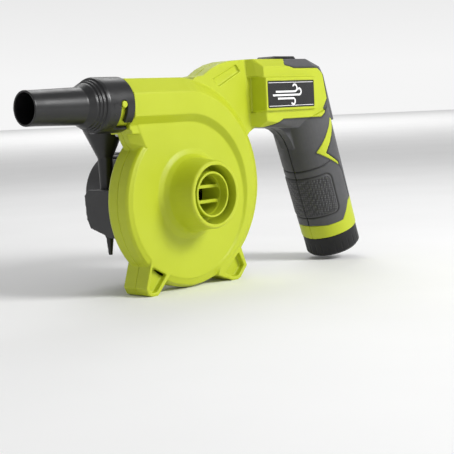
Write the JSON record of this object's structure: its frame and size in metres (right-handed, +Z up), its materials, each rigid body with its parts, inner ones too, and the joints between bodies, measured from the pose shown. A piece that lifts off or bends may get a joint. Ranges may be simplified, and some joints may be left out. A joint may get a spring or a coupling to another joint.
{
  "type": "cordless air blower",
  "caption": "Hand-held cordless scroll-fan air blower and inflator with battery grip, slide switch and stored nozzles.",
  "frame": {"origin": "centre of the intake ring's mouth, on the fan axis", "axes": "-Y out of the intake along the fan axis, -X out of the nozzle, +Z up"},
  "size_m": [0.2943, 0.0952, 0.1468],
  "materials": {
    "lime_plastic": "satin moulded",
    "black_rubber": "matt",
    "black_plastic": "satin moulded",
    "grey_plastic": "satin moulded",
    "grip_rubber": "soft touch",
    "badge_black": "gloss",
    "steel": "brushed",
    "copper": "wound",
    "magnet": "matt",
    "bronze": "sintered",
    "board_green": "solder mask",
    "battery_plastic": "satin moulded",
    "cell_wrap": "shrink wrap",
    "lead_cover": "smooth"
  },
  "bodies": {
    "housing": {"front_housing": "lime_plastic", "rear_housing": "lime_plastic", "intake_grille": "lime_plastic", "outlet_spigot": "lime_plastic", "outlet_seal": "black_rubber", "nozzle_holder": "grey_plastic", "nozzle_post": "grey_plastic", "motor_cover": "grey_plastic", "grip_skin_front": "grip_rubber", "grip_skin_rear": "grip_rubber", "badge_front": "badge_black", "badge_rear": "badge_black", "switch_body": "black_plastic", "motor_can": "steel", "motor_magnets": "magnet", "motor_end_cap": "black_plastic", "motor_brushes": "magnet", "front_bushing": "bronze", "rear_bushing": "bronze", "motor_screws": "steel", "control_board": "board_green", "terminal_block": "black_plastic", "terminal_contacts": "bronze", "battery_clip": "steel", "power_leads": "lead_cover", "housing_screws": "steel", "cover_screws": "steel", "post_screws_pair": "steel"},
    "fan": {"impeller": "black_plastic", "impeller_nut": "steel", "motor_shaft": "steel", "motor_armature": "copper", "motor_commutator": "copper"},
    "tube_nozzle_body": {"tube_nozzle": "black_plastic"},
    "needle_nozzle_body": {"needle_nozzle": "black_plastic"},
    "flat_nozzle_body": {"flat_nozzle": "black_plastic"},
    "switch": {"switch_slider": "black_plastic"},
    "battery": {"battery_case": "battery_plastic", "battery_cell": "cell_wrap", "battery_board": "board_green", "battery_contacts": "bronze"}
  },
  "joints": [
    {"name": "fan_spin", "type": "hinge", "parent": "housing", "child": "fan", "pos_m": [0, 0, 0], "axis": [0, 1, 0], "continuous": true},
    {"name": "nozzle_twist", "type": "hinge", "parent": "housing", "child": "tube_nozzle_body", "pos_m": [0, 0.03, 0.058], "axis": [-1, 0, 0], "range_deg": [0, 51]},
    {"name": "needle_lift", "type": "slide", "parent": "housing", "child": "needle_nozzle_body", "axis": [0, 0, 1], "range_m": [0, 0.045]},
    {"name": "flat_lift", "type": "slide", "parent": "housing", "child": "flat_nozzle_body", "axis": [0, 0, 1], "range_m": [0, 0.02]},
    {"name": "switch_slide", "type": "slide", "parent": "housing", "child": "switch", "axis": [1, 0, 0], "range_m": [0, 0.006]},
    {"name": "battery_slide", "type": "slide", "parent": "housing", "child": "battery", "axis": [0.3322, 0, -0.9432], "range_m": [0, 0.085]}
  ]
}
